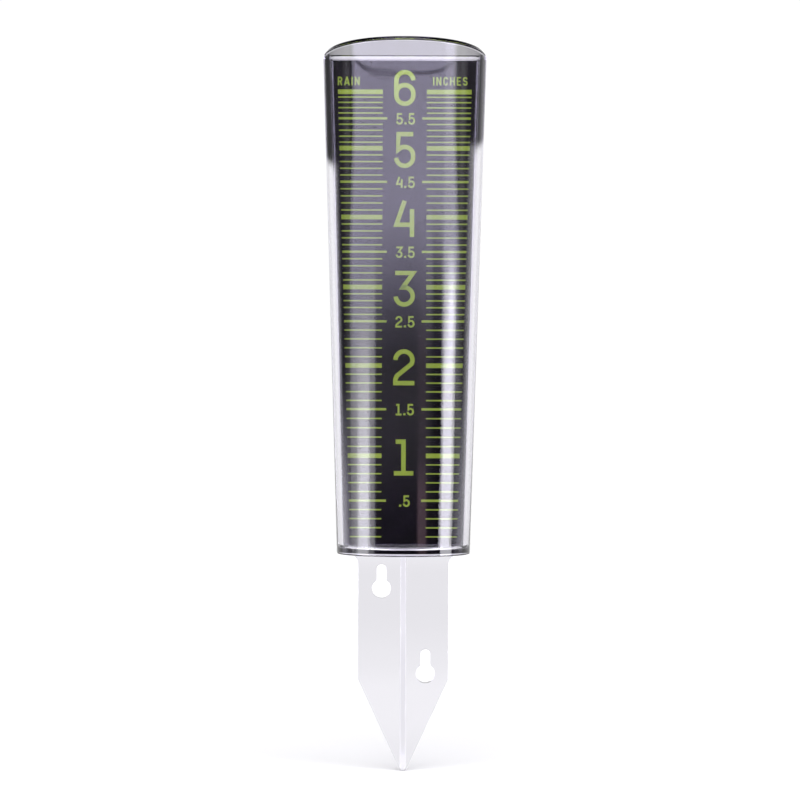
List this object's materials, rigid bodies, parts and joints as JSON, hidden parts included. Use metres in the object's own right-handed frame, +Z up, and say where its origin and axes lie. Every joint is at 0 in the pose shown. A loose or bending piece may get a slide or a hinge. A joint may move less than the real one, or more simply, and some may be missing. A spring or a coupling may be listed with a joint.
{
  "type": "manual rain gauge",
  "caption": "Clear tapered D-section measuring tube with a black graduated scale film behind it, on a flat pointed stake with a central rib and keyhole slots for screws.",
  "frame": {"origin": "on the flat back face of the stake, on the centre line, midway between the two keyholes", "axes": "+Z up towards the open mouth of the tube, +Y out of the back towards the post or fence, so the curved front faces -Y and the viewer's right is +X"},
  "size_m": [0.0782, 0.0385, 0.3426],
  "materials": {
    "clear_plastic": "clear, polished",
    "scale_film": "glossy black film printed in lime green"
  },
  "bodies": {
    "root": {"lens_wall": "clear_plastic", "back_wall": "clear_plastic", "tube_floor": "clear_plastic", "scale_film": "scale_film", "stake_blade": "clear_plastic", "stake_rib": "clear_plastic"}
  },
  "joints": []
}
